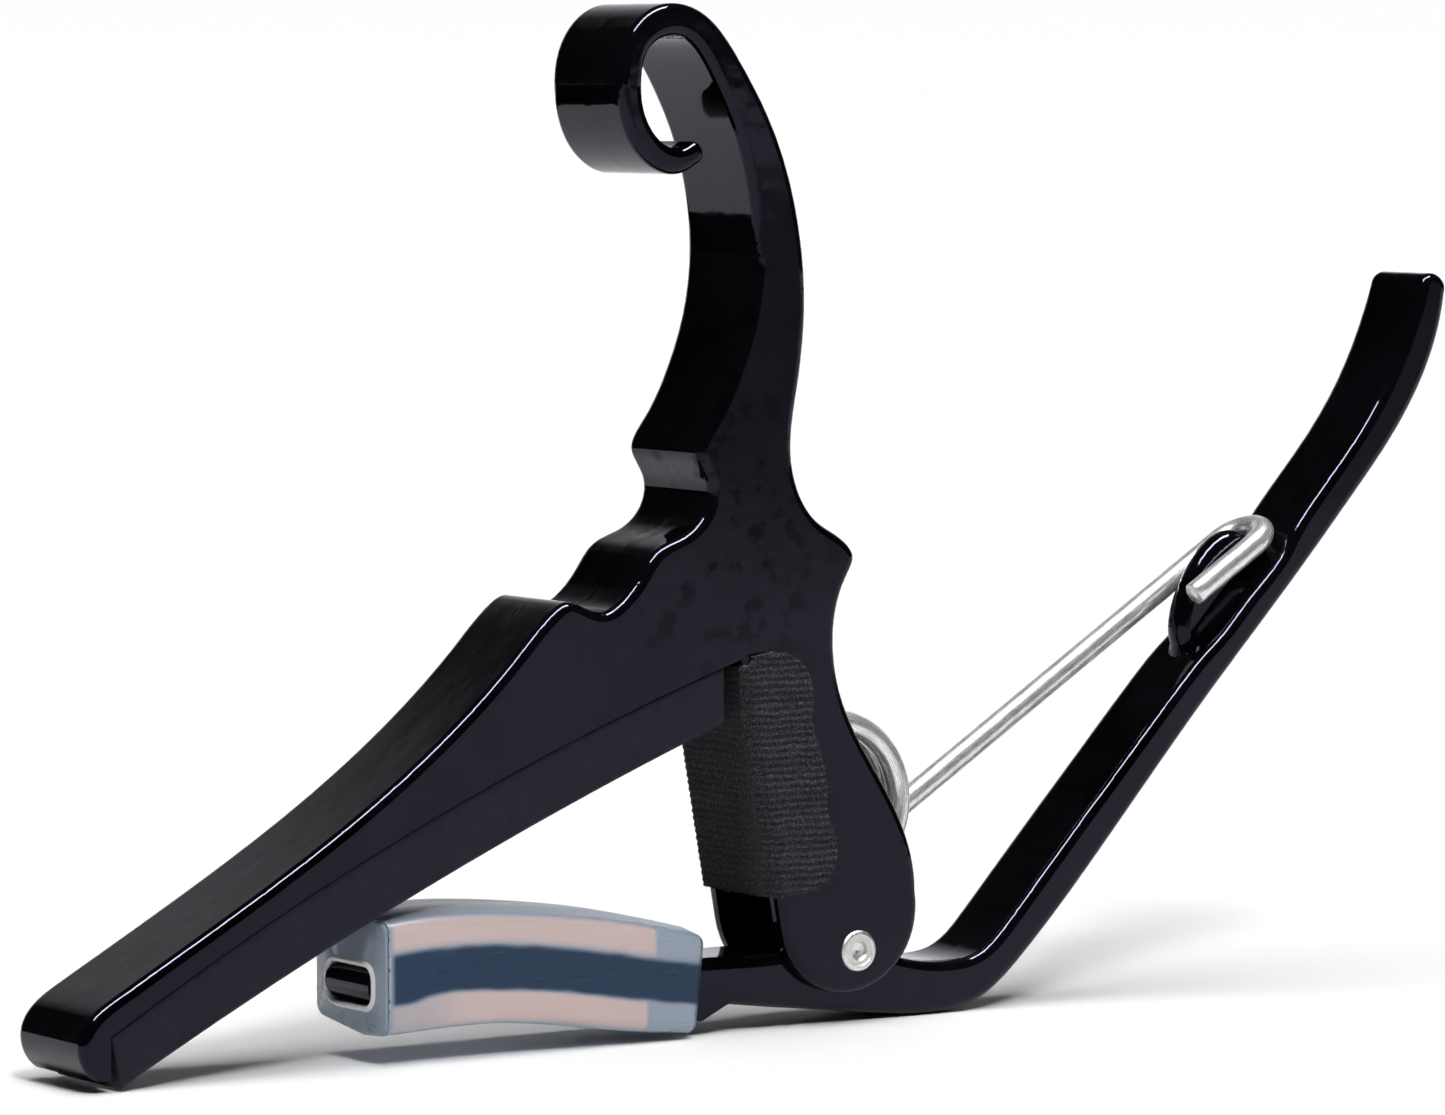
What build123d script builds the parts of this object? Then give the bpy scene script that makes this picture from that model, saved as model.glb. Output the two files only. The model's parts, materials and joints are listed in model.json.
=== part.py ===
"""Spring-loaded guitar capo: a cast body with a padded string bar, a hinged
clamping lever in a silicone sleeve, and one wire torsion spring between them.

Millimetres, +Z up. The capo stands upright with its outline in the XZ plane
and its width along Y. Outlines are drawn from the hinge axis: first number
towards +X (the lever's handle), second number up.
"""
import os
from math import cos, radians, sin

from build123d import *

os.makedirs("parts", exist_ok=True)

# ---- driving dimensions -------------------------------------------------
hinge_x = 4.68          # hinge axis in the shared frame
hinge_z = 6.36
body_w = 11.2           # width of the cast body
body_edge_r = 0.8       # rounding of the outline's edges
slot_w = 8.5            # gap between the two ears
pin_r = 1.3             # rivet shank
pin_fit = 0.05          # running clearance in the lever's bore
head_r = 1.8            # rivet head
head_h = 0.3
lever_w = 8.1
lever_edge_r = 0.8
root_edge_r = 1.0
hub_r = 3.6
keel_w = 2.6            # keel on the lever that the spring's hook straddles
arm_w = 7.0             # lever arm inside the sleeve
sleeve_w = 11.6
sleeve_edge_r = 1.5
arm_edge_r = 0.8
keel_edge_r = 1.15
keel_foot = 1.0         # height and spread of the bevel round the keel
sleeve_fit = 0.03
pad_w = 11.0
pad_edge_r = 0.4
cloth_t = 0.6
wire_d = 2.1
coil_r = 6.75           # mean radius of the spring coil
coil_at = (0.0, 12.9)   # coil axis, from the hinge
wire_near = -3.15       # the coil winds from this Y ...
wire_far = 2.65         # ... to this one
arm_rise = 32.0         # slope of the spring's long arm, degrees
arm_len = 49.7
stub_len = 8.1
anchor_lean = 10.2      # the hidden leg leans along the wall, degrees
anchor_len = 10.5
arm_wrap = 200.0        # part of the last turn that moves with the arm, degrees

side = Plane(origin=(hinge_x, 0, hinge_z), x_dir=(1, 0, 0), z_dir=(0, -1, 0))


def rim(block, width):
    """Outline edges on the two side faces of a block centred on Y."""
    return [e for e in block.edges() if abs(abs(e.center().Y) - width / 2) < 1e-3]


def curved(edges):
    """Only the free-form edges of a list."""
    return [e for e in edges if e.geom_type == GeomType.BSPLINE]


# ---- cast body ----------------------------------------------------------
pad_root = (-12.1, 26.0)    # where the bar's underside meets the leg

with BuildPart() as main_body:
    with BuildSketch(side):
        with BuildLine():
            # seat of the string pad, curved to suit a fretboard, ending in a lip
            seat = ThreePointArc(pad_root, (-43.1, 14.15), (-73.75, -1.85))
            Polyline(seat @ 1, (-73.75, -5.4), (-75.0, -5.4))
            # the bar's top, two finger recesses and the neck, then round inside the curl
            front = Spline(
                (-75.0, -5.4), (-76.1, -4.1), (-76.35, -2.1), (-75.2, -0.2), (-73.0, 1.3),
                (-61.6, 7.7), (-46.1, 17.5), (-34.4, 27.6), (-31.2, 30.75), (-29.6, 31.6),
                (-27.9, 31.1), (-26.0, 30.6), (-24.1, 31.55), (-22.3, 33.5), (-20.6, 35.6),
                (-17.5, 37.0), (-15.4, 39.4), (-15.4, 41.3), (-16.55, 43.7), (-15.2, 46.4),
                (-13.0, 50.3), (-11.1, 55.8), (-10.55, 62.3), (-12.0, 69.8), (-15.1, 76.2),
                (-18.2, 79.2), (-21.0, 78.4), (-22.05, 75.4), (-21.3, 71.8), (-19.3, 69.9),
                (-16.9, 70.3),
            )
            curl_end = ThreePointArc(front @ 1, (-15.85, 69.4), (-16.6, 68.3))
            # outside of the curl, down the back to the finger stop and the leg
            outer = Spline(
                (-16.6, 68.3), (-19.4, 67.55), (-22.6, 69.5), (-24.3, 74.0), (-23.5, 79.0),
                (-20.4, 81.75), (-16.4, 81.5), (-12.2, 77.4), (-8.2, 70.5), (-6.0, 63.2),
                (-5.35, 56.6), (-6.0, 49.7), (-6.75, 43.5), (-5.95, 40.1), (-4.0, 37.5),
                (-1.3, 35.8), (-0.25, 34.4), (-0.95, 32.6), (-2.3, 27.9), (-1.6, 22.6),
                (2.5, 15.1), (5.5, 9.5), (6.4, 4.8),
            )
            foot = ThreePointArc(outer @ 1, (-1.0, -3.7), (-7.88, 2.3))
            Line(foot @ 1, pad_root)
        make_face()
    extrude(amount=body_w / 2, both=True)
    # every outline edge but the pad's seat and the lip
    outline = [e for e in rim(main_body, body_w) if e.center().X > hinge_x - 73]
    fillet([e for e in outline if not 60 < e.length < 70], body_edge_r)
    # slot for the lever and the spring, open at the back and underneath
    with BuildSketch(side):
        with BuildLine():
            Polyline(
                (12, -9), (-14, -9), (-14, 5.2), (-6.8, 5.2), (-10.2, 24.0), (-8.2, 26.0),
                (12, 26.0), close=True,
            )
        make_face()
    extrude(amount=slot_w / 2, both=True, mode=Mode.SUBTRACT)
    with BuildSketch(side):
        Circle(pin_r)
    extrude(amount=body_w, both=True, mode=Mode.SUBTRACT)

# ---- rivet --------------------------------------------------------------
with BuildPart() as pivot_rivet:
    with BuildSketch(Plane(origin=(hinge_x, 0, hinge_z), x_dir=(1, 0, 0), z_dir=(0, 0, 1))):
        with BuildLine():
            face = body_w / 2
            # half section: one head is rolled over a hollow end, the other is domed
            rolled = ThreePointArc((head_r, -face), (head_r - 0.1, -face - 0.22), (1.45, -face - head_h))
            Polyline(rolled @ 1, (1.3, -face - head_h), (1.25, -face - 0.2), (0.85, -face - 0.2),
                     (0.7, -face + 0.1), (0, -face + 0.2), (0, face + 0.5))
            ThreePointArc((0, face + 0.5), (1.1, face + 0.36), (head_r, face))
            Polyline((head_r, face), (pin_r, face), (pin_r, -face), (head_r, -face))
        make_face()
    revolve(axis=Axis((hinge_x, 0, hinge_z), (0, 1, 0)))

# ---- lever --------------------------------------------------------------
grip_slope = 45.5           # the handle's inner face where the hook sits, degrees
grip_at = (40.6, 24.95)
arm_root = -16.5            # the sleeve butts against a shoulder here


def on_grip(along, out):
    """A point given along the handle's inner face and out from it."""
    c, s = cos(radians(grip_slope)), sin(radians(grip_slope))
    return (grip_at[0] + along * c - out * s, grip_at[1] + along * s + out * c)


def arm_outline(grow=0.0):
    """Outline of the tongue inside the sleeve, drawn this much larger all round."""
    top = Spline(
        (-12.0, -1.6 + grow), (-16.0, -1.3 + grow), (-23.5, -0.1 + grow), (-31.5, 1.2 + grow),
        (-39.5, 1.9 + grow), (-47.3, 1.6 + grow),
    )
    low = Spline(
        (-47.3, -1.5 - grow), (-45.6, -1.4 - grow), (-43.4, -0.9 - grow), (-38.5, -0.75 - grow),
        (-31.6, -1.35 - grow), (-23.5, -2.65 - grow), (-12.0, -4.2 - grow),
    )
    ThreePointArc(top @ 1, (-48.3 - grow, 0.05), low @ 0)
    Line(low @ 1, top @ 0)


with BuildPart() as tongue:
    with BuildSketch(side):
        with BuildLine():
            arm_outline()
        make_face()
    extrude(amount=arm_w / 2, both=True)
    fillet(curved(rim(tongue, arm_w)), arm_edge_r)

# keel between the two wires of the hook
with BuildPart() as keel:
    with BuildSketch(side):
        with BuildLine():
            keel_top = Spline(
                on_grip(-1.8, -0.6), on_grip(-1.5, 1.4), on_grip(0.5, 3.3), on_grip(4.0, 4.6),
                on_grip(8.2, 4.75), on_grip(10.0, 3.8), on_grip(10.9, 1.5), on_grip(11.2, -0.6),
            )
            Line(keel_top @ 1, keel_top @ 0)
        make_face()
    extrude(amount=keel_w / 2, both=True)
    fillet(curved(rim(keel, keel_w)), keel_edge_r)

# bevel round the foot of the keel
with BuildPart() as foot_bevel:
    on_face = on_grip(2.6, -0.1)
    face_dir = Vector(cos(radians(grip_slope)), 0, sin(radians(grip_slope)))
    with BuildSketch(Plane(
        origin=(hinge_x + on_face[0], 0, hinge_z + on_face[1]), x_dir=face_dir,
        z_dir=(-sin(radians(grip_slope)), 0, cos(radians(grip_slope))),
    )):
        SlotOverall(10.8, keel_w + 2 * keel_foot)
    extrude(amount=keel_foot + 0.1, taper=45)

with BuildPart() as lever:
    with BuildSketch(side):
        with BuildLine():
            under = Spline(
                (-12.7, -3.95), (-7.3, -4.65), (-1.0, -5.4), (5.0, -6.15), (9.8, -6.35),
                (14.0, -5.65), (18.9, -2.2), (27.6, 6.75), (39.35, 19.65), (50.5, 31.25),
                (56.4, 37.65), (61.75, 43.95), (65.55, 50.5), (67.0, 55.8),
            )
            tip = Spline(under @ 1, (66.7, 57.3), (65.5, 57.8), (64.3, 57.0))
            upper = Spline(
                tip @ 1, (62.9, 53.2), (59.8, 47.2), (55.6, 41.7), on_grip(15.5, 0.75),
                on_grip(13.0, 0.45), on_grip(11.0, 0.02), on_grip(6.0, 0.0), on_grip(1.0, 0.0),
                on_grip(-1.6, 0.25), on_grip(-5.0, 0.35), (30.8, 15.3), (21.9, 5.9),
                (17.6, 1.3), (14.4, -1.3), (10.6, -1.9), (7.2, -1.5), (4.2, -0.6),
            )
            hub = ThreePointArc((2.6, 2.49), (0.0, hub_r), (-2.6, 2.49))
            Line(upper @ 1, hub @ 0)
            root = Spline((-4.3, 0.3), (-8.0, 0.1), (-12.0, 0.1), (arm_root + 0.3, 0.2))
            Line(hub @ 1, root @ 0)
            Polyline(root @ 1, (arm_root, -0.75), (arm_root, -5.1), (-15.3, -5.2), under @ 0)
        make_face()
    extrude(amount=lever_w / 2, both=True)
    fillet([e for e in curved(rim(lever, lever_w)) if e.center().X > hinge_x], lever_edge_r)
    fillet([e for e in curved(rim(lever, lever_w)) if e.center().X < hinge_x], root_edge_r)
    add(tongue.part)
    add(keel.part)
    add(foot_bevel.part)
    with BuildSketch(side):
        Circle(pin_r + pin_fit)
    extrude(amount=lever_w, both=True, mode=Mode.SUBTRACT)

# ---- silicone sleeve ----------------------------------------------------
with BuildPart() as lever_sleeve:
    with BuildSketch(side):
        with BuildLine():
            over = Spline(
                (arm_root + 0.6, 2.8), (-23.0, 4.5), (-28.7, 5.4), (-37.1, 6.25), (-44.0, 6.35),
                (-47.9, 6.05),
            )
            below = Spline(
                (-47.9, -3.9), (-41.0, -3.6), (-35.8, -3.65), (-31.6, -4.1), (-23.0, -5.4),
                (arm_root - 0.5, -6.0),
            )
            Line(over @ 1, below @ 0)
            Polyline(below @ 1, (arm_root - 0.05, -0.75), over @ 0)
        make_face()
    extrude(amount=sleeve_w / 2, both=True)
    fillet([e for e in curved(rim(lever_sleeve, sleeve_w)) if e.center().Z < hinge_z], sleeve_edge_r)
    fillet([e for e in curved(rim(lever_sleeve, sleeve_w)) if e.center().Z > hinge_z], 0.8)
    with BuildSketch(side):
        with BuildLine():
            arm_outline(sleeve_fit)
        make_face()
        with Locations((-50, 0)):
            Rectangle(6, 3.0)
    extrude(amount=arm_w / 2 + sleeve_fit, both=True, mode=Mode.SUBTRACT)

# ---- rubber string pad --------------------------------------------------
with BuildPart() as string_pad:
    with BuildSketch(side):
        with BuildLine():
            # the pad lies against the bar's seat, between the lip and the leg
            gap = Vector(0.01, -0.02)
            laid = ThreePointArc(seat @ 0.028 + gap, seat @ 0.5 + gap, seat @ 0.9988 + gap)
            strings = ThreePointArc((-13.9, 20.45), (-44.0, 8.1), (-72.8, -6.3))
            Line(laid @ 0, strings @ 0)
            Line(laid @ 1, strings @ 1)
        make_face()
    extrude(amount=pad_w / 2, both=True)
    fillet([e for e in rim(string_pad, pad_w) if e.center().Z < hinge_z + 8.6], pad_edge_r)

# ---- cloth around the leg -----------------------------------------------
with BuildPart() as leg_cloth:
    with BuildSketch(side):
        with BuildLine():
            edge = Spline(
                (-12.8, 25.9), (-10.5, 26.4), (-8.0, 26.3), (-5.7, 24.7), (-5.1, 22.8),
                (-5.2, 20.5), (-4.5, 18.0), (-3.7, 14.7), (-3.5, 12.0), (-2.8, 10.2),
                (-2.6, 8.4), (-3.6, 6.5), (-6.0, 5.5), (-9.03, 5.2),
            )
            Polyline(edge @ 1, (-11.87, 21.2), edge @ 0)
        make_face()
    extrude(amount=body_w / 2 + 0.02 + cloth_t, both=True)
    with BuildSketch(side):
        Polygon(
            (-8.38, 5.0), (-12.12, 25.97), (-20, 23.4), (-20, 40), (5, 40), (5, 0), (-7.5, 0),
            align=None,
        )
    extrude(amount=body_w / 2 + 0.02, both=True, mode=Mode.SUBTRACT)

# ---- torsion spring -----------------------------------------------------
wind_from = 180 + anchor_lean
wind_to = 270 + arm_rise + 720
wound = wind_to - wind_from
hinge = Vector(hinge_x, 0, hinge_z)
coil_mid = hinge + Vector(coil_at[0], 0, coil_at[1])
arm_dir = Vector(cos(radians(arm_rise)), 0, sin(radians(arm_rise)))
anchor_dir = Vector(-sin(radians(anchor_lean)), 0, cos(radians(anchor_lean)))


def coil_point(turned):
    """Centre line of the coil, this many degrees on from the hidden leg."""
    angle = radians(wind_from + turned)
    u, ease = turned / wound, 0.02
    if u < ease:
        part = u * u / (2 * ease)
    elif u > 1 - ease:
        part = 1 - ease - (1 - u) ** 2 / (2 * ease)
    else:
        part = u - ease / 2
    across = wire_near + (wire_far - wire_near) * part / (1 - ease)
    return coil_mid + Vector(coil_r * cos(angle), across, coil_r * sin(angle))


def coil_run(start, stop):
    """Smooth curve through the coil between two amounts of winding."""
    steps = max(6, round((stop - start) / 18))
    return Spline(*[coil_point(start + (stop - start) * i / steps) for i in range(steps + 1)])


with BuildPart() as spring_coil:
    with BuildLine() as coil_wire:
        first = coil_point(0)
        Line(first + anchor_dir * anchor_len, first)
        coil_run(0, wound - arm_wrap - 1)
    with BuildSketch(Plane(origin=coil_wire.line @ 0, z_dir=coil_wire.line % 0)):
        Circle(wire_d / 2)
    sweep(path=coil_wire.line)

with BuildPart() as spring_arm:
    with BuildLine() as arm_wire:
        coil_run(wound - arm_wrap, wound)
        last = coil_point(wound)
        bend_at = last + arm_dir * arm_len
        other = bend_at + Vector(0, -2 * wire_far, 0)
        Line(last, bend_at)
        ThreePointArc(bend_at, (bend_at + other) / 2 + arm_dir * wire_far, other)
        Line(other, other - arm_dir * stub_len)
    with BuildSketch(Plane(origin=arm_wire.line @ 0, z_dir=arm_wire.line % 0)):
        Circle(wire_d / 2)
    sweep(path=arm_wire.line)

# ---- files --------------------------------------------------------------
pieces = {
    "main_body": main_body, "lever": lever, "pivot_rivet": pivot_rivet,
    "spring_coil": spring_coil, "spring_arm": spring_arm, "string_pad": string_pad,
    "lever_sleeve": lever_sleeve, "leg_cloth": leg_cloth,
}
for label, piece in pieces.items():
    piece.part.label = label
    export_step(piece.part, f"parts/{label}.step")
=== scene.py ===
import json
import math
import random

import bmesh
import bpy
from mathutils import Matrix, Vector, noise
from mathutils.geometry import delaunay_2d_cdt


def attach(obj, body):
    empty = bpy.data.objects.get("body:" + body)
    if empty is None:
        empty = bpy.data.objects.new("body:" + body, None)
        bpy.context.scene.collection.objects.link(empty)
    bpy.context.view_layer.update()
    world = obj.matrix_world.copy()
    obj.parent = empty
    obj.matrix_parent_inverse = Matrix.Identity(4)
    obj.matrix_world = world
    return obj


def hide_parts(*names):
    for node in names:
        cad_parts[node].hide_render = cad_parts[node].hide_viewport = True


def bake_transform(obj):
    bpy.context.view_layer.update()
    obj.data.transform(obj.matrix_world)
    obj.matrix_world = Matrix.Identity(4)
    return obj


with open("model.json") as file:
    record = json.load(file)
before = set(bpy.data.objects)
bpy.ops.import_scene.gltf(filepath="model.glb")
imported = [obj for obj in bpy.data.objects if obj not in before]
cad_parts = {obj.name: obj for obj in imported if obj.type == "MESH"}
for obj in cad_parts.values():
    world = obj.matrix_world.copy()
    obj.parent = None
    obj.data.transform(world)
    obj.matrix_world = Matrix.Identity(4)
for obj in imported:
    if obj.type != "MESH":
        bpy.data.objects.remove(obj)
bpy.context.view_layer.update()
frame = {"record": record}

MM = 0.001
JOINTS = {j["name"]: j for j in frame["record"]["behaviour"]["joints"]}
HINGE = Vector(JOINTS["lever_hinge"]["pos_m"])
COIL = Vector(JOINTS["spring_turn"]["pos_m"])
BODY, LEVER, SPRING = "body", "clamp_lever", "spring_end"
NODES = {o.name: o for o in bpy.data.objects if o.type == "MESH"}
scene = bpy.context.scene


def at(x, z, y=0.0):
    """A point given in millimetres from the lever's hinge."""
    return HINGE + Vector((x, y, z)) * MM


# ---- camera: the photograph's viewing angle and distance ----------------
camera = bpy.data.objects.new("camera", bpy.data.cameras.new("camera"))
bpy.context.collection.objects.link(camera)
bpy.context.scene.camera = camera
camera.data.sensor_width = 36
camera.data.lens = 171.55
camera.location = HINGE + Vector((-340.356, -493.286, 75.54)) * MM
camera.rotation_euler = (math.radians(86.029), 0, math.radians(-33.776))
camera.data.clip_start, camera.data.clip_end = 0.01, 50


# ---- mesh helpers -------------------------------------------------------
UV_PER_MM = 0.1
UV_PER_M = 100
CUT_CHAMFER = 0.12


def mesh_object(name, verts, faces, material, uvs=None):
    """Smooth-shaded mesh with one material; uvs gives one pair for each vertex."""
    mesh = bpy.data.meshes.new(name)
    mesh.from_pydata([tuple(v) for v in verts], [], faces)
    mesh.validate()
    if uvs:
        layer = mesh.uv_layers.new(name="UVMap")
        for loop in mesh.loops:
            layer.data[loop.index].uv = uvs[loop.vertex_index]
    for p in mesh.polygons:
        p.use_smooth = True
    mesh.materials.append(material)
    obj = bpy.data.objects.new(name, mesh)
    bpy.context.collection.objects.link(obj)
    return obj


def smooth_curve(points, step):
    """Points at about this spacing along a natural cubic curve through the given ones."""
    n = len(points)
    pts = [Vector(p) for p in points]
    zero = Vector((0,) * len(pts[0]))
    h = [(pts[i + 1] - pts[i]).length for i in range(n - 1)]
    second, upper, right = [zero] * n, [0] * n, [zero] * n
    for i in range(1, n - 1):
        a, b, c = h[i - 1], 2 * (h[i - 1] + h[i]), h[i]
        rhs = 6 * ((pts[i + 1] - pts[i]) / h[i] - (pts[i] - pts[i - 1]) / h[i - 1])
        m = b - a * upper[i - 1]
        upper[i] = c / m
        right[i] = (rhs - a * right[i - 1]) / m
    for i in range(n - 2, 0, -1):
        second[i] = right[i] - upper[i] * second[i + 1]
    out = []
    for i in range(n - 1):
        k = max(1, round(h[i] / step))
        for j in range(k):
            t = h[i] * j / k
            r = h[i] - t
            out.append(
                second[i] * (r**3 / (6 * h[i])) + second[i + 1] * (t**3 / (6 * h[i]))
                + (pts[i] / h[i] - second[i] * h[i] / 6) * r
                + (pts[i + 1] / h[i] - second[i + 1] * h[i] / 6) * t
            )
    return out + [pts[-1]]


def tube(name, points, radius, material, sides=24, start_cap=True, end_cap=True):
    """Round wire along a line of points, with a small chamfer at each cut end."""
    tangents = []
    for i in range(len(points)):
        a, b = points[max(i - 1, 0)], points[min(i + 1, len(points) - 1)]
        tangents.append((b - a).normalized())
    normal = tangents[0].orthogonal().normalized()
    rings = []
    length = 0.0
    for i, (p, t) in enumerate(zip(points, tangents)):
        normal = (normal - t * normal.dot(t)).normalized()
        side = t.cross(normal)
        if i:
            length += (p - points[i - 1]).length
        rings.append((p, normal.copy(), side, radius, length))
    chamfer = radius * CUT_CHAMFER
    if start_cap:
        p, n, s, r, run = rings[0]
        rings[0] = (p + tangents[0] * chamfer, n, s, r, run)
        rings.insert(0, (p, n, s, r - chamfer, run))
    if end_cap:
        p, n, s, r, run = rings[-1]
        rings[-1] = (p - tangents[-1] * chamfer, n, s, r, run)
        rings.append((p, n, s, r - chamfer, run))
    verts, faces, uvs = [], [], []
    for p, n, s, r, run in rings:
        for k in range(sides):
            a = 2 * math.pi * k / sides
            verts.append(p + (n * math.cos(a) + s * math.sin(a)) * r)
            uvs.append((run * UV_PER_M, k / sides))
    for i in range(len(rings) - 1):
        for k in range(sides):
            a, b = i * sides + k, i * sides + (k + 1) % sides
            faces.append((a, b, b + sides, a + sides))
    if start_cap:
        faces.append(tuple(reversed(range(sides))))
    if end_cap:
        last = (len(rings) - 1) * sides
        faces.append(tuple(range(last, last + sides)))
    return mesh_object(name, verts, faces, material, uvs=uvs)


# ---- materials ----------------------------------------------------------
MIX_FACTOR, MIX_A, MIX_B, MIX_RESULT = 0, 6, 7, 2


class Nodes:
    """Builds nodes in one tree. A value may be a constant or another node's output."""

    def __init__(self, tree):
        self.tree = tree

    def node(self, kind, inputs=None, **props):
        n = self.tree.nodes.new(kind)
        for key, value in props.items():
            setattr(n, key, value)
        for key, value in (inputs or {}).items():
            if isinstance(value, bpy.types.NodeSocket):
                self.tree.links.new(value, n.inputs[key])
            else:
                n.inputs[key].default_value = value
        return n

    def coords(self, kind="Object", scale=(1, 1, 1)):
        c = self.node("ShaderNodeTexCoord")
        m = self.node("ShaderNodeMapping", {"Vector": c.outputs[kind], "Scale": scale})
        return m.outputs["Vector"]

    def noise(self, scale, detail=2.0, rough=0.5, vector=None):
        inputs = {
            "Vector": vector or self.coords(), "Scale": scale, "Detail": detail, "Roughness": rough,
        }
        return self.node("ShaderNodeTexNoise", inputs).outputs["Fac"]

    def ramp(self, fac, *stops):
        """Each stop is a position and either a grey value or a colour."""
        r = self.node("ShaderNodeValToRGB", {"Fac": fac})
        while len(r.color_ramp.elements) < len(stops):
            r.color_ramp.elements.new(0.5)
        for e, (pos, col) in zip(r.color_ramp.elements, stops):
            e.position = pos
            e.color = (*col, 1) if hasattr(col, "__len__") else (col, col, col, 1)
        return r.outputs["Color"]

    def math(self, op, a, b=0.0):
        return self.node("ShaderNodeMath", {0: a, 1: b}, operation=op).outputs[0]

    def mix(self, fac, a, b):
        inputs = {MIX_FACTOR: fac, MIX_A: a, MIX_B: b}
        return self.node("ShaderNodeMix", inputs, data_type="RGBA").outputs[MIX_RESULT]

    def bump(self, height, strength, distance):
        inputs = {"Height": height, "Strength": strength, "Distance": distance}
        return self.node("ShaderNodeBump", inputs).outputs["Normal"]


class Shader(Nodes):
    """One node material; settings are constants on the Principled shader's own sockets."""

    def __init__(self, name, **settings):
        self.material = bpy.data.materials.new(name)
        self.material.use_nodes = True
        super().__init__(self.material.node_tree)
        self.bsdf = self.tree.nodes["Principled BSDF"]
        for key, value in settings.items():
            self.bsdf.inputs[key.replace("_", " ")].default_value = value

    def link(self, output, name):
        self.tree.links.new(output, self.bsdf.inputs[name])


def paint_material():
    """Gloss black powder coat: slow orange peel, fine pits, and dull blotches on one spot."""
    s = Shader(
        "black_paint", Roughness=0.1, IOR=1.345,
        Specular_IOR_Level=0.5, Specular_Tint=(0.7, 0.69, 1.0, 1),
    )
    cloud = s.noise(70, 4, 0.6)
    spots = s.noise(420, 3, 0.7)
    mottle = s.math("MULTIPLY", cloud, s.math("ADD", spots, 0.5))
    colour = s.ramp(mottle, (0.35, (0.0004, 0.0004, 0.0007)), (0.6, (0.0025, 0.0025, 0.0036)))
    s.link(colour, "Base Color")
    s.link(s.ramp(s.noise(300, 4, 0.65), (0.35, 0.03), (0.6, 0.06), (0.75, 0.1)), "Roughness")
    peel = s.noise(260, 2, 0.5)
    pits = s.noise(1500, 2, 0.5)
    height = s.math("ADD", peel, s.math("MULTIPLY", pits, 0.06))
    s.link(s.bump(height, 0.3, 0.00005), "Normal")

    # dull, less reflective blotches round the foot of the neck, fading out between 6 and 18 mm away
    blotch_centre = tuple(at(-14.0, 39.0, -5.6))
    away = s.node("ShaderNodeVectorMath", {0: s.coords(), 1: blotch_centre}, operation="DISTANCE")
    near = s.ramp(away.outputs["Value"], (0.0, 1.0), (0.006, 1.0), (0.018, 0.0))
    blotches = s.ramp(s.noise(480, 3, 0.6), (0.54, 0.0), (0.64, 0.7))
    dull_settings = {
        "Base Color": (0.002, 0.002, 0.003, 1), "Roughness": 0.15, "IOR": 1.2,
        "Specular IOR Level": 0.2,
    }
    dull = s.node("ShaderNodeBsdfPrincipled", dull_settings)
    share = s.math("MULTIPLY", near, blotches)
    blend = s.node("ShaderNodeMixShader", {0: share, 1: s.bsdf.outputs[0], 2: dull.outputs[0]})
    s.tree.links.new(blend.outputs[0], s.tree.nodes["Material Output"].inputs["Surface"])
    return s.material


def rubber_material():
    """Matt black rubber with a fine grain."""
    s = Shader(
        "pad_rubber", Roughness=0.62, Specular_IOR_Level=0.3, Specular_Tint=(0.76, 0.73, 1.0, 1),
        Sheen_Weight=0.05, Sheen_Roughness=0.5,
    )
    tone = s.noise(900, 4, 0.6)
    s.link(s.ramp(tone, (0.3, (0.0035, 0.0032, 0.006)), (0.75, (0.0085, 0.0075, 0.013))), "Base Color")
    s.link(s.ramp(s.noise(260, 3, 0.5), (0.3, 0.5), (0.7, 0.72)), "Roughness")
    s.link(s.bump(s.noise(3200, 3, 0.6), 0.3, 0.00004), "Normal")
    return s.material


def wire_material():
    """Bright plated steel wire with drawing marks along its length."""
    s = Shader("spring_wire", Metallic=0.72, Roughness=0.3)
    uv = s.coords("UV", (0.6, 14, 1))
    marks = s.noise(6, 4, 0.6, vector=uv)
    patches = s.noise(700, 4, 0.65)
    s.link(
        s.ramp(patches, (0.3, (0.6, 0.63, 0.61)), (0.5, (0.76, 0.78, 0.76)), (0.72, (0.88, 0.89, 0.87))),
        "Base Color",
    )
    s.link(s.ramp(marks, (0.3, 0.2), (0.8, 0.36)), "Roughness")
    s.link(s.bump(marks, 0.2, 0.00003), "Normal")
    return s.material


def rivet_material():
    """Dull, lightly pitted steel."""
    s = Shader("rivet_steel", Metallic=1.0, Roughness=0.35)
    s.link(s.mix(s.noise(2500, 4, 0.7), (0.86, 0.86, 0.85, 1), (0.62, 0.61, 0.6, 1)), "Base Color")
    s.link(s.ramp(s.noise(4000, 3, 0.6), (0.3, 0.26), (0.75, 0.5)), "Roughness")
    s.link(s.bump(s.noise(5200, 3, 0.6), 0.5, 0.00004), "Normal")
    return s.material


def cloth_material():
    """Black knit: paler specks at random over the modelled weave."""
    s = Shader(
        "black_cloth", Roughness=0.95,
        Sheen_Weight=0.02, Sheen_Roughness=0.35, Sheen_Tint=(0.75, 0.78, 0.9, 1),
    )
    uv = s.coords("UV")
    threads = s.noise(8200, 2, 0.6)
    colour = s.ramp(
        threads,
        (0.46, (0.0012, 0.0012, 0.002)), (0.56, (0.005, 0.0048, 0.008)), (0.68, (0.085, 0.08, 0.11)),
    )
    s.link(colour, "Base Color")
    wave_settings = {"Vector": uv, "Scale": 1.0, "Distortion": 3.0, "Detail": 2.0}
    wave = s.node("ShaderNodeTexWave", wave_settings, bands_direction="Y")
    height = s.math("ADD", wave.outputs["Fac"], threads)
    s.link(s.bump(height, 0.7, 0.00012), "Normal")
    return s.material


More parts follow.
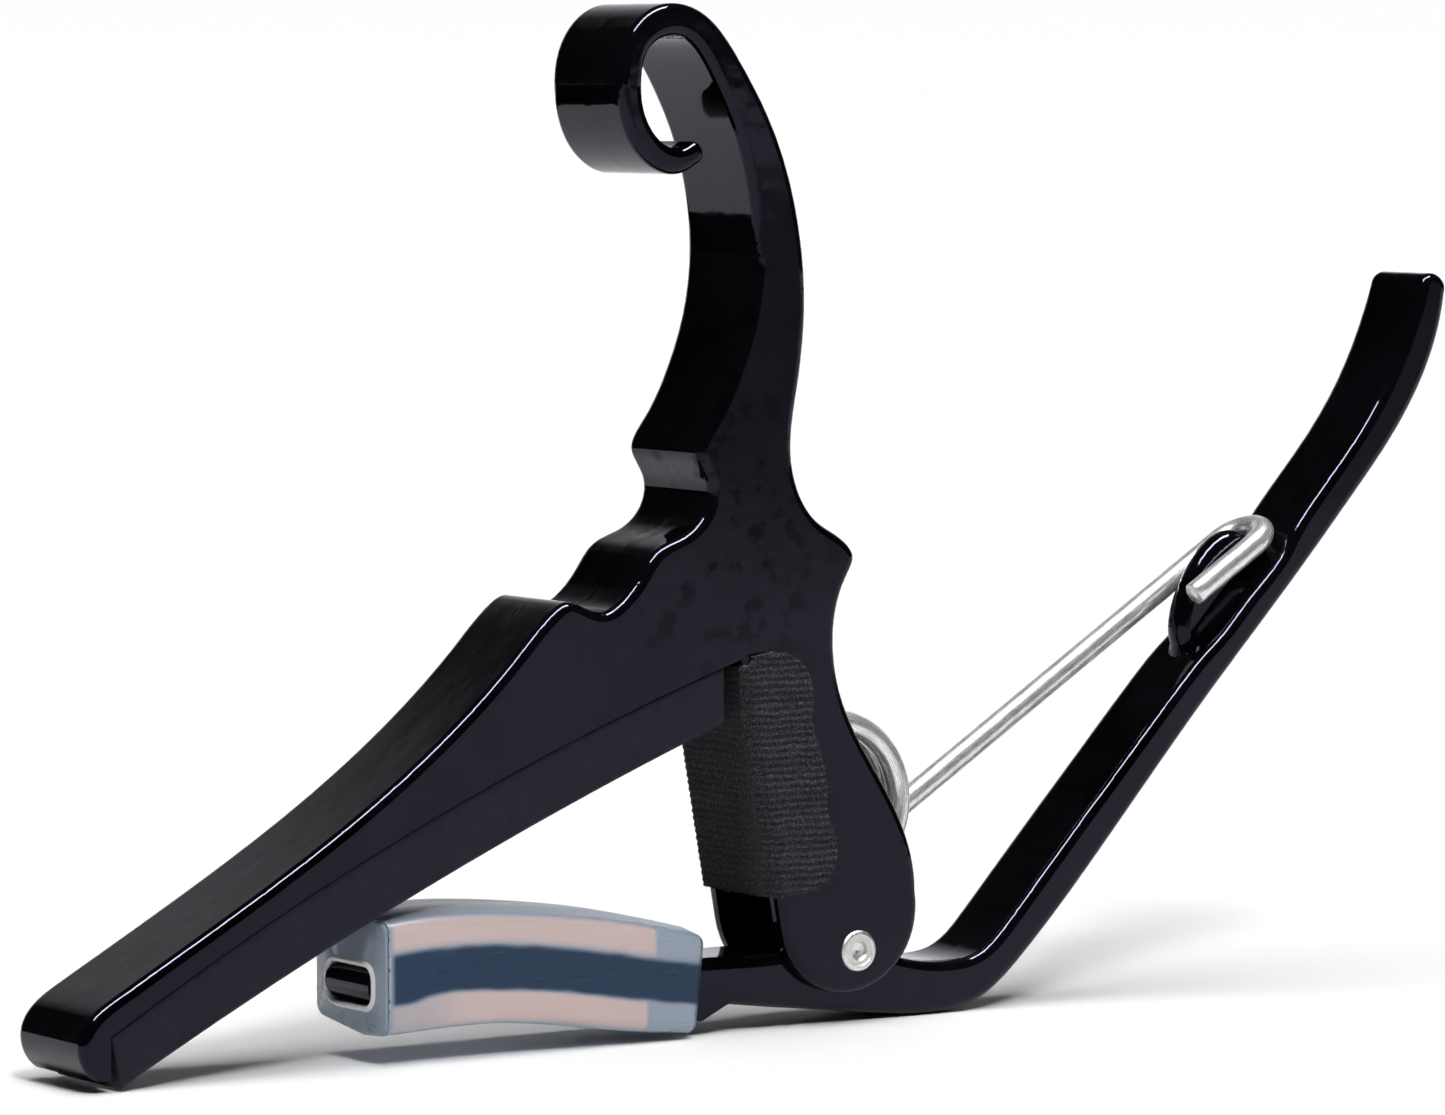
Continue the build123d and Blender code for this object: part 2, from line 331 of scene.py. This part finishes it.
def silicone_material():
    """Milky blue silicone. The band attribute marks the cream bands (red), the dark tongue seen
    through the side (green) and the opening's thin lip (blue), painted white to stand for light shining
    through it."""
    s = Shader(
        "silicone", Roughness=0.25, Specular_IOR_Level=0.35, Coat_Weight=0.05, Coat_Roughness=0.12,
        Subsurface_Weight=0.15, Subsurface_Radius=(0.7, 0.9, 1.0), Subsurface_Scale=0.0008,
    )
    band = s.node("ShaderNodeAttribute", attribute_name="band").outputs["Color"]
    parts = s.node("ShaderNodeSeparateColor", {"Color": band}).outputs
    streaks = s.noise(260, 3, 0.5, vector=s.coords("Object", (0.12, 1.0, 1.6)))
    blue = s.mix(streaks, (0.31, 0.36, 0.43, 1), (0.25, 0.30, 0.375, 1))
    cream = s.mix(streaks, (0.60, 0.485, 0.47, 1), (0.53, 0.41, 0.385, 1))
    tongue = s.mix(streaks, (0.002, 0.022, 0.062, 1), (0.005, 0.03, 0.076, 1))
    colour = s.mix(parts["Red"], blue, cream)
    colour = s.mix(parts["Green"], colour, tongue)
    # painted light: the opening's thin lip is painted near white for light shining through it
    colour = s.mix(parts["Blue"], colour, (0.8, 0.8, 0.8, 1))
    s.link(colour, "Base Color")
    s.link(s.ramp(streaks, (0.3, 0.24), (0.75, 0.36)), "Roughness")
    return s.material


def fibre_material():
    """Loose cloth fibres, from black to dark grey."""
    s = Shader("cloth_fibre", Roughness=0.8, Sheen_Weight=0.1)
    tone = s.noise(3000, 2, 0.5)
    s.link(s.ramp(tone, (0.3, (0.012, 0.012, 0.015)), (0.7, (0.09, 0.09, 0.10))), "Base Color")
    return s.material


FIBRE = fibre_material()
PAINT, RUBBER, WIRE = paint_material(), rubber_material(), wire_material()
RIVET, CLOTH, SILICONE = rivet_material(), cloth_material(), silicone_material()


def repaint(node, material):
    """Give a CAD piece that keeps its own mesh its final material."""
    obj = NODES[node]
    for slot in obj.material_slots:
        slot.material = material


repaint("main_body", PAINT)
repaint("lever", PAINT)
repaint("pivot_rivet", RIVET)

# ---- torsion spring: millimetres and degrees, as in the CAD -------------
WIRE_R = 1.05
COIL_R = 6.75
Y_NEAR, Y_FAR = -3.15, 2.65
ARM_RISE, LEAN = 32.0, 10.2
ARM_LEN, STUB_LEN, ANCHOR_LEN = 49.7, 8.1, 10.5
WIND_FROM = 180 + LEAN
WOUND = 270 + ARM_RISE + 720 - WIND_FROM
WIND_EASE = 0.02
COIL_STEPS, ANCHOR_STEPS, ARM_STEPS, HOOK_STEPS, STUB_STEPS = 150, 12, 20, 24, 8


def coil_point(turned):
    """Centre of the wire after this many degrees of winding; the pitch eases in and out."""
    angle = math.radians(WIND_FROM + turned)
    u = turned / WOUND
    if u < WIND_EASE:
        part = u * u / (2 * WIND_EASE)
    elif u > 1 - WIND_EASE:
        part = 1 - WIND_EASE - (1 - u) ** 2 / (2 * WIND_EASE)
    else:
        part = u - WIND_EASE / 2
    across = Y_NEAR + (Y_FAR - Y_NEAR) * part / (1 - WIND_EASE)
    return COIL + Vector((COIL_R * math.cos(angle), across, COIL_R * math.sin(angle))) * MM


arm_dir = Vector((math.cos(math.radians(ARM_RISE)), 0, math.sin(math.radians(ARM_RISE))))
anchor_dir = Vector((-math.sin(math.radians(LEAN)), 0, math.cos(math.radians(LEAN))))
turns = [coil_point(i * WOUND / COIL_STEPS) for i in range(COIL_STEPS + 1)]
anchor = [
    turns[0] + anchor_dir * ANCHOR_LEN * MM * (1 - i / ANCHOR_STEPS) for i in range(ANCHOR_STEPS)
]
coil = tube("spring_coils", anchor + turns, WIRE_R * MM, WIRE, end_cap=False)
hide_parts("spring_coil")
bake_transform(coil)

# the long arm, the half turn round the lever's keel, and the stub that points back
coil_end = turns[-1]
bend_at = coil_end + arm_dir * ARM_LEN * MM
hook_centre = Vector((bend_at.x, COIL.y, bend_at.z))
arm_points = [coil_end + arm_dir * ARM_LEN * MM * i / ARM_STEPS for i in range(ARM_STEPS)]
for i in range(HOOK_STEPS + 1):
    a = math.pi * i / HOOK_STEPS
    round_hook = Vector((0, math.cos(a), 0)) + arm_dir * math.sin(a)
    arm_points.append(hook_centre + round_hook * Y_FAR * MM)
stub_at = arm_points[-1]
arm_points += [stub_at - arm_dir * STUB_LEN * MM * i / STUB_STEPS for i in range(1, STUB_STEPS + 1)]
arm = tube("spring_hook", arm_points, WIRE_R * MM, WIRE, start_cap=False)
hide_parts("spring_arm")
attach(arm, SPRING)

# ---- swept rubber pieces: millimetres from the hinge --------------------
CORNER_STEPS = 6
TOP_SHARES = (0.6, 0.4, 0.2, -0.2, -0.4, -0.6)
FOOT_SHARES = (-0.6, -0.3, 0.0, 0.3, 0.6)
LEAST_R = 0.1
CURVE_STEP = 0.3


def section(half_w, height, r_low, r_high, along):
    """Rounded section as a closed ring of (y, z) pairs, z from 0 up to the height."""
    ring = []

    def corner(cy, cz, r, start):
        for i in range(CORNER_STEPS + 1):
            a = math.radians(start + 90 * i / CORNER_STEPS)
            ring.append((cy + r * math.cos(a), cz + r * math.sin(a)))

    def side(y, z0, z1):
        for i in range(1, along):
            ring.append((y, z0 + (z1 - z0) * i / along))

    corner(half_w - r_high, height - r_high, r_high, 0)
    ring.extend((half_w * share, height) for share in TOP_SHARES)
    corner(-half_w + r_high, height - r_high, r_high, 90)
    side(-half_w, height - r_high, r_low)
    corner(-half_w + r_low, r_low, r_low, 180)
    ring.extend((half_w * share, 0) for share in FOOT_SHARES)
    corner(half_w - r_low, r_low, r_low, 270)
    side(half_w, r_low, height - r_high)
    return ring


def swept(stations, half_w, r_low, r_high, along=24, bore=None, inset=0.25, crown=None):
    """Block whose section runs from the low to the high point of each station, with rounded ends.
    A bore at the first end gives, per ring, its low and high points, half width and corner radius.
    Returns the vertices, the faces and each vertex's (x, z, y) in millimetres."""
    verts, faces, info = [], [], []

    def add_ring(low, high, shrink, hole=None):
        """One ring, pulled in on all sides by shrink; returns where it starts and its size."""
        low, high = Vector(low), Vector(high)
        up = (high - low).normalized()
        if hole:
            hole_low, hole_high, hole_w, hole_r = hole
            base = Vector(hole_low)
            height = (Vector(hole_high) - base).length
            ring = section(hole_w, height, hole_r, hole_r, along)
        else:
            base = low + up * shrink
            height = (high - up * shrink - base).length
            r_foot, r_top = max(r_low - shrink, LEAST_R), max(r_high - shrink, LEAST_R)
            ring = section(half_w - shrink, height, r_foot, r_top, along)
        start = len(verts)
        for y, z in ring:
            if crown and not hole:
                z = crown(y, z, height)
            p = base + up * z
            verts.append(at(p.x, p.y, y))
            info.append((p.x, p.y, y))
        return start, len(ring)

    def bridge(a, b, n, flip=False):
        for k in range(n):
            quad = (a + k, a + (k + 1) % n, b + (k + 1) % n, b + k)
            faces.append(tuple(reversed(quad)) if flip else quad)

    def direction(a, b):
        """Unit direction from one station's middle to another's."""
        return (Vector(b[0]) + Vector(b[1]) - Vector(a[0]) - Vector(a[1])).normalized()

    def end_rings(station, inward):
        """Three rings that round an end, from the outermost inwards."""
        low, high = station
        return [
            (Vector(low) + inward * push, Vector(high) + inward * push, shrink)
            for push, shrink in ((0.0, inset), (inset * 0.3, inset * 0.3), (inset, 0.0))
        ]

    plan = end_rings(stations[0], direction(stations[0], stations[1]))
    plan += [(low, high, 0.0) for low, high in stations[1:-1]]
    plan += reversed(end_rings(stations[-1], -direction(stations[-2], stations[-1])))
    rings = []
    n = 0
    for low, high, shrink in plan:
        start, n = add_ring(low, high, shrink)
        rings.append(start)
    for a, b in zip(rings, rings[1:]):
        bridge(a, b, n)
    faces.append(tuple(rings[-1] + k for k in range(n)))
    if bore is None:
        faces.append(tuple(rings[0] + k for k in reversed(range(n))))
    else:
        inner = [add_ring(*stations[i], 0.0, hole)[0] for i, hole in enumerate(bore)]
        bridge(inner[0], rings[0], n)
        for a, b in zip(inner, inner[1:]):
            bridge(a, b, n, flip=True)
        faces.append(tuple(inner[-1] + k for k in reversed(range(n))))
    return verts, faces, info


def line_points(*points):
    """A smooth outline through these (x, z) points."""
    return [tuple(p) for p in smooth_curve(points, CURVE_STEP)]


def height_on(curve, x):
    """Height of a line of points at this x, whichever way the line runs."""
    pts = sorted(curve)
    if x <= pts[0][0]:
        return pts[0][1]
    for (x0, z0), (x1, z1) in zip(pts, pts[1:]):
        if x <= x1:
            return z0 + (z1 - z0) * (x - x0) / (x1 - x0)
    return pts[-1][1]


def arc_points(a, m, b, count):
    """Points on the circle through three points, from the first to the last."""
    ax, az = a
    bx, bz = m
    cx, cz = b
    d = 2 * (ax * (bz - cz) + bx * (cz - az) + cx * (az - bz))
    sa, sb, sc = ax**2 + az**2, bx**2 + bz**2, cx**2 + cz**2
    ux = (sa * (bz - cz) + sb * (cz - az) + sc * (az - bz)) / d
    uz = (sa * (cx - bx) + sb * (ax - cx) + sc * (bx - ax)) / d
    r = math.hypot(ax - ux, az - uz)
    start, end = math.atan2(az - uz, ax - ux), math.atan2(cz - uz, cx - ux)
    end = start + (end - start + math.pi) % (2 * math.pi) - math.pi
    angles = [start + (end - start) * i / count for i in range(count + 1)]
    return [(ux + r * math.cos(angle), uz + r * math.sin(angle)) for angle in angles]


# ---- string pad: between the bar's curved seat and the strings ----------
PAD_COUNT = 160
PAD_HALF_W, PAD_LOW_R, PAD_TOP_R = 5.5, 0.45, 0.15
seat = arc_points((-13.9, 25.34), (-43.1, 14.1), (-73.68, -1.9), PAD_COUNT)
strings = arc_points((-13.9, 20.45), (-44.0, 8.1), (-72.8, -6.3), PAD_COUNT)
pad_stations = list(zip(strings, seat))[::-1]
verts, faces, _ = swept(pad_stations, PAD_HALF_W, PAD_LOW_R, PAD_TOP_R, along=10, inset=0.2)
pad = mesh_object("string_pad_rubber", verts, faces, RUBBER)
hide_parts("string_pad")
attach(pad, BODY)

# ---- silicone sleeve on the lever's tongue ------------------------------
SLEEVE_HALF_W, SLEEVE_LOW_R, SLEEVE_TOP_R = 5.8, 1.1, 0.8
MOUTH_X, ROOT_X = -47.9, -16.5
SLEEVE_STEPS = 130
ROOT_LEAN = 0.5
BORE_HALF_W, BORE_R = 3.5, 1.05
OVER = line_points(
    (-15.9, 2.8), (-23.0, 4.5), (-28.7, 5.4), (-37.1, 6.25), (-44.0, 6.35), (-47.9, 6.05),
)
BELOW = line_points(
    (-47.9, -4.1), (-41.0, -3.8), (-35.8, -3.85), (-31.6, -4.3), (-23.0, -5.55), (-17.0, -6.15),
)
TONGUE_TOP = line_points(
    (-12.0, -1.6), (-16.0, -1.3), (-23.5, -0.1), (-31.5, 1.2), (-39.5, 1.9), (-47.3, 1.6),
)
TONGUE_LOW = line_points(
    (-47.3, -1.5), (-45.6, -1.4), (-43.4, -0.9), (-38.5, -0.75), (-31.6, -1.35), (-23.5, -2.65),
    (-12.0, -4.2),
)
# the opening's raised lip, then the bore: x, and how far it stands off the tongue
MOUTH_RINGS = (
    (-47.9, 0.62), (-47.93, 0.56), (-48.14, 0.45), (-48.16, 0.25), (-48.02, 0.1), (-47.8, 0.06),
    (-47.4, 0.06), (-47.0, 0.06), (-46.2, 0.06), (-44.0, 0.06),
)
# crown: the top falls away beyond this half width, the underside rises from one line across
TOP_FLAT, TOP_SLOPE_W, TOP_DROP = 2.4, 3.4, 0.55
LOWEST_Y, NEAR_W, NEAR_RISE, FAR_W, FAR_RISE = -1.7, 4.1, 0.24, 7.5, 1.0


def crowned(y, z, height):
    """Slight crown on the sleeve's top and underside, shared out over the height between."""
    drop = TOP_DROP * max(0, (abs(y) - TOP_FLAT) / TOP_SLOPE_W)
    rise = max(NEAR_RISE * (LOWEST_Y - y) / NEAR_W, FAR_RISE * (y - LOWEST_Y) / FAR_W, 0)
    share = z / height
    return z - drop * share + rise * (1 - share)


stations = []
for i in range(SLEEVE_STEPS + 1):
    x = MOUTH_X + (ROOT_X - MOUTH_X) * i / SLEEVE_STEPS
    lean = ROOT_LEAN * (i / SLEEVE_STEPS) ** 2
    low = (x - lean, height_on(BELOW, x - lean))
    high = (x + lean, height_on(OVER, x + lean))
    stations.append((low, high))
holes = []
for x, gap in MOUTH_RINGS:
    low = (x, height_on(TONGUE_LOW, x) - gap)
    high = (x, height_on(TONGUE_TOP, x) + gap)
    holes.append((low, high, BORE_HALF_W + gap, BORE_R + gap))
verts, faces, info = swept(
    stations, SLEEVE_HALF_W, SLEEVE_LOW_R, SLEEVE_TOP_R,
    along=44, bore=holes, inset=0.3, crown=crowned,
)
sleeve = mesh_object("lever_sleeve_silicone", verts, faces, SILICONE)
band = sleeve.data.attributes.new("band", "FLOAT_COLOR", "POINT")


def soft_step(x, edge, width):
    """0 below the edge and 1 above it, smoothly over this width."""
    t = min(max((x - edge) / width + 0.5, 0), 1)
    return t * t * (3 - 2 * t)


# colour bands on the sleeve's sides; the tongue looks this far off its real edges
SEEN_LOW, SEEN_TOP = 0.2, 1.35
SIDE_Y, MOUTH_END, LIP_END = 5.35, -47.2, -47.92
CREAM_END_OVER, CREAM_END_UNDER = -21.1, -22.0
PALE_UNDER, PALE_X, PALE_W = 0.55, -42.0, 5.0
for k, (x, z, y) in enumerate(info):
    low, top = height_on(TONGUE_LOW, x) + SEEN_LOW, height_on(TONGUE_TOP, x) + SEEN_TOP
    over, below = height_on(OVER, x), height_on(BELOW, x)
    on_side = soft_step(abs(y), SIDE_Y, 0.5)
    inside = soft_step(x, MOUTH_END, 0.5)
    wobble = 0.12 * noise.noise(Vector((x * 0.5, z * 0.5, 3)))
    tongue = soft_step(z, low + wobble, 0.45) * (1 - soft_step(z, top + wobble, 0.6))
    cream_over = soft_step(z, top + 0.3, 0.9) * (1 - soft_step(z, over - 0.7, 0.8))
    cream_under = soft_step(z, below + 0.4, 0.9) * (1 - soft_step(z, low - 0.15, 0.4))
    cream_under *= PALE_UNDER + (1 - PALE_UNDER) * soft_step(x, PALE_X, PALE_W)
    before_end = 1 - soft_step(x, CREAM_END_OVER if z > low else CREAM_END_UNDER, 0.3)
    cream = min(cream_over + cream_under, 1) * before_end * on_side * inside
    # painted light on the lip: white where light shines through the thin lip
    lip = 1.0 if x < LIP_END else 0.0
    band.data[k].color = (cream, tongue * on_side * inside, lip, 1)
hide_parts("lever_sleeve")
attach(sleeve, LEVER)

# ---- cloth wrapped round the leg ----------------------------------------
HALF_W = 5.6
METAL_R = 0.8
CLOTH_T = 0.6
SHEET_T = 0.48
FACE_DIP = 0.06
NEUTRAL = 0.32
STRAIGHT = HALF_W - METAL_R
TURN = (METAL_R + NEUTRAL) * math.pi / 2
FRONT_X, FRONT_Z, FRONT_SLOPE = -7.88, 2.3, 0.178


def leg_front(z):
    """x of the leg's front face at this height."""
    return FRONT_X - FRONT_SLOPE * (z - FRONT_Z)


def wrap(across, z, out):
    """Point on the cloth: distance across from the middle of the leg's front, height, distance
    out from the metal."""
    side = 1 if across > 0 else -1
    a = abs(across)
    front = leg_front(z)
    if a < STRAIGHT:
        x, y = front - out, a
    elif a < STRAIGHT + TURN:
        angle = (a - STRAIGHT) / TURN * math.pi / 2
        x = front + METAL_R - (METAL_R + out) * math.cos(angle)
        y = STRAIGHT + (METAL_R + out) * math.sin(angle)
    else:
        x, y = front + METAL_R + a - STRAIGHT - TURN, HALF_W + out
    return at(x, z, side * y)


# a flap's outline on the leg's side, from the front's top edge round to its bottom edge
FLAP = (
    (-12.8, 25.9), (-10.5, 26.4), (-8.0, 26.3), (-5.7, 24.7), (-5.1, 22.8), (-5.2, 20.5), (-4.5, 18.0),
    (-3.7, 14.7), (-3.5, 12.0), (-2.8, 10.2), (-2.6, 8.4), (-3.6, 6.5), (-6.0, 5.5), (-8.0, 5.3),
)
FLAP_STEP = 0.14
FRONT_TOP, FRONT_LOW = 25.35, 5.2
CORNER_ONLY_ABOVE = 25.2
unrolled = []
for p in smooth_curve(FLAP, FLAP_STEP):
    a = STRAIGHT + TURN + p.x - leg_front(p.y) - METAL_R
    if p.y > CORNER_ONLY_ABOVE:
        a = max(a, STRAIGHT + TURN + 0.02)
    fray = 0.05 * noise.noise(Vector((p.x * 2.5, p.y * 2.5, 0)))
    unrolled.append(Vector((a + fray, p.y + fray)))
outline = unrolled[:]
for a in range(60, -61, -2):
    ragged = 0.04 * noise.noise(Vector((a * 0.25, 5, 0)))
    outline.append(Vector((a / 10, FRONT_LOW + ragged)))
outline += [Vector((-p.x, p.y)) for p in reversed(unrolled)]
outline += [Vector((a / 10, FRONT_TOP)) for a in range(-60, 61, 2)]

# the flat sheet is meshed as a fine grid inside that outline, then wrapped
STEP = 0.13
GRID_LOW, GRID_HEIGHT, GRID_HALF_W = 5.1, 22, 12.6
rows, cols = int(GRID_HEIGHT / STEP), int(GRID_HALF_W / STEP)
grid = []
for r in range(rows):
    for c in range(-cols, cols + 1):
        grid.append(Vector((c * STEP, GRID_LOW + r * STEP)))
loop = list(range(len(outline)))
edges = [(i, (i + 1) % len(outline)) for i in loop]
flat_verts, _, flat_faces, _, _, _ = delaunay_2d_cdt(outline + grid, edges, [loop], 1, 1e-5)

RIB_PITCH, LOOP_PITCH = 0.62, 0.48
RIB_HEIGHT, LOOP_HEIGHT, ROUGH_HEIGHT = 0.035, 0.028, 0.04


def weave(a, z):
    """Height of the knitted face: ribs across, loops along them, and worn patches."""
    rib = math.sin(z * 2 * math.pi / RIB_PITCH + 1.3 * noise.noise(Vector((a * 0.6, z * 0.4, 7))))
    loops = math.sin(a * 2 * math.pi / LOOP_PITCH + 2.0 * noise.noise(Vector((a * 0.5, z * 0.9, 2))))
    rough = noise.noise(Vector((a * 4, z * 4, 11)))
    return RIB_HEIGHT * rib + LOOP_HEIGHT * loops * (0.6 + 0.4 * rib) + ROUGH_HEIGHT * rough


cloth_verts = [wrap(v.x, v.y, CLOTH_T - FACE_DIP + weave(v.x, v.y)) for v in flat_verts]
cloth = mesh_object(
    "leg_cloth_sheet", cloth_verts, [tuple(f) for f in flat_faces], CLOTH,
    uvs=[(v.x * UV_PER_MM, v.y * UV_PER_MM) for v in flat_verts],
)
# all faces outwards, which is towards -x on the leg's front
bm = bmesh.new()
bm.from_mesh(cloth.data)
bmesh.ops.recalc_face_normals(bm, faces=bm.faces)
probe = min(bm.faces, key=lambda f: f.calc_center_median().x)
if probe.normal.x > 0:
    bmesh.ops.reverse_faces(bm, faces=bm.faces)
bm.to_mesh(cloth.data)
bm.free()
thick = cloth.modifiers.new("thickness", "SOLIDIFY")
thick.thickness = SHEET_T * MM
thick.offset = -1
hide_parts("leg_cloth")
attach(cloth, BODY)

# ---- loose fibres along the cloth's cut edge and over its face ----------
random.seed(7)
EDGE_FIBRES, FACE_FIBRES = 60, 260
EDGE_RADIUS, FACE_RADIUS = 0.015 * MM, 0.012 * MM
FIBRE_STEPS, FIBRE_SIDES = 4, 3
fibre_verts, fibre_faces = [], []


def fibre(root, direction, length, radius):
    """One curved hair, three-sided and tapering."""
    side = direction.orthogonal().normalized()
    curl = Vector((random.uniform(-1, 1), random.uniform(-1, 1), random.uniform(-1, 1))) * 0.5
    base = len(fibre_verts)
    for i in range(FIBRE_STEPS + 1):
        t = i / FIBRE_STEPS
        p = root + (direction * t + curl * t * t) * length
        for k in range(FIBRE_SIDES):
            a = 2 * math.pi * k / FIBRE_SIDES
            turned = side * math.cos(a) + direction.cross(side) * math.sin(a)
            fibre_verts.append(p + turned * radius * (1 - 0.7 * t))
    for i in range(FIBRE_STEPS):
        for k in range(FIBRE_SIDES):
            ring = base + i * FIBRE_SIDES
            a, b = ring + k, ring + (k + 1) % FIBRE_SIDES
            fibre_faces.append((a, b, b + FIBRE_SIDES, a + FIBRE_SIDES))


for sign in (-1, 1):
    for _ in range(EDGE_FIBRES):
        v = random.choice(unrolled)
        root = wrap(sign * v.x, v.y, random.uniform(0.25, 0.6))
        outward = (root - wrap(sign * (v.x - 1), v.y, 0.4)).normalized()
        outward = outward + Vector((0, 0, random.uniform(-0.8, 0.8))) + Vector((0, sign * 0.4, 0))
        fibre(root, outward.normalized(), random.uniform(0.15, 0.4) * MM, EDGE_RADIUS)
for _ in range(FACE_FIBRES):
    v = random.choice(flat_verts)
    root = wrap(v.x, v.y, CLOTH_T - 0.1)
    lift = (wrap(v.x, v.y, 1.6) - root).normalized()
    spread = Vector((random.uniform(-1, 1), random.uniform(-0.3, 0.3), random.uniform(-1, 1)))
    leaning = (lift * 0.5 + spread * 0.8).normalized()
    fibre(root, leaning, random.uniform(0.2, 0.5) * MM, FACE_RADIUS)
fibres = mesh_object("leg_cloth_fibres", fibre_verts, fibre_faces, FIBRE)
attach(fibres, BODY)

# ---- floor, world and light ---------------------------------------------
scene.view_settings.view_transform = "Standard"


def plane(name, shader, **placement):
    """Square sheet with one material."""
    bpy.ops.mesh.primitive_plane_add(**placement)
    obj = bpy.context.object
    obj.name = name
    obj.data.materials.append(shader.material)
    return obj


floor_shader = Shader(
    "floor", Base_Color=(0.95, 0.95, 0.955, 1), Roughness=0.7, Specular_IOR_Level=0.1,
)
floor = plane("floor", floor_shader, size=60, location=(0, 0, -0.0001))

# the studio: a white backdrop behind the capo, dark above and to the sides
world = bpy.data.worlds.new("studio")
scene.world = world
world.use_nodes = True
sky = Nodes(world.node_tree)
BEHIND_X, BEHIND_Y = 0.556, 0.831
SKY_BLUE = 1.04


def sky_ramp(fac, *stops):
    """Ramp of faintly blue greys."""
    return sky.ramp(fac, *((pos, (grey, grey, grey * SKY_BLUE)) for pos, grey in stops))


towards = sky.node(
    "ShaderNodeSeparateXYZ", {0: sky.node("ShaderNodeTexCoord").outputs["Generated"]},
).outputs
up = towards["Z"]
backdrop = sky_ramp(up, (0.0, 1.0), (0.2, 0.85), (0.42, 0.6), (0.515, 0.26), (0.55, 0.02), (0.9, 0.06))
around = sky_ramp(up, (0.0, 0.02), (0.5, 0.012), (0.9, 0.03))
# cosine, seen from above, of the angle between a direction and the middle of the backdrop
level = sky.math("POWER", sky.math("SUBTRACT", 1.0, sky.math("MULTIPLY", up, up)), 0.5)
facing = sky.math(
    "ADD", sky.math("MULTIPLY", towards["X"], BEHIND_X), sky.math("MULTIPLY", towards["Y"], BEHIND_Y),
)
behind = sky_ramp(sky.math("DIVIDE", facing, level), (0.74, 0.0), (0.84, 1.0))
background = world.node_tree.nodes["Background"]
world.node_tree.links.new(sky.mix(behind, around, backdrop), background.inputs["Color"])
background.inputs["Strength"].default_value = 1.0


def light(name, kind, energy, **settings):
    """Light of this kind, linked to the scene."""
    data = bpy.data.lights.new(name, kind)
    data.energy = energy
    for key, value in settings.items():
        setattr(data, key, value)
    obj = bpy.data.objects.new(name, data)
    bpy.context.collection.objects.link(obj)
    return obj


def sun(name, shines, spread, energy):
    """Light from far away, this many degrees wide, that is not seen mirrored in the paint."""
    obj = light(name, "SUN", energy, angle=math.radians(spread))
    obj.rotation_euler = Vector(shines).to_track_quat("-Z", "Y").to_euler()
    obj.visible_glossy = False


sun("top_sun", (0.03, 0.1, -1.0), 50, 2.1)
sun("front_sun", (0.17, 0.78, -1.0), 14, 1.6)

# overhead strip: only seen as the bright line along rounded edges
strip = light("overhead_strip", "AREA", 50, shape="RECTANGLE", size=1.15, size_y=0.26)
strip.location = (-0.15, -0.2, 1.1)
strip.visible_diffuse = False


# the room in front of the table and to the left is dark: only seen mirrored in the paint
def dark_shader(name, grey):
    return Shader(name, Base_Color=(grey, grey, grey, 1), Roughness=1.0, Specular_IOR_Level=0.0)


MAT_HEIGHT = 0.0004
front_shader = dark_shader("dark_front", 0.02)
depth = front_shader.node("ShaderNodeSeparateXYZ", {0: front_shader.coords("Generated")}).outputs["Y"]
front_shader.link(front_shader.ramp(depth, (0.0, 0.9), (0.9, 0.6), (0.985, 0.0)), "Alpha")
front = plane("dark_front", front_shader, size=4, location=(1, -2.3, MAT_HEIGHT))
left = plane(
    "dark_left", dark_shader("dark_left", 0.001),
    size=40, location=(-27.632, 6.148, MAT_HEIGHT), rotation=(0, 0, math.radians(33.78)),
)
for obj in (front, left):
    for kind in ("camera", "diffuse", "transmission", "volume_scatter", "shadow"):
        setattr(obj, "visible_" + kind, False)
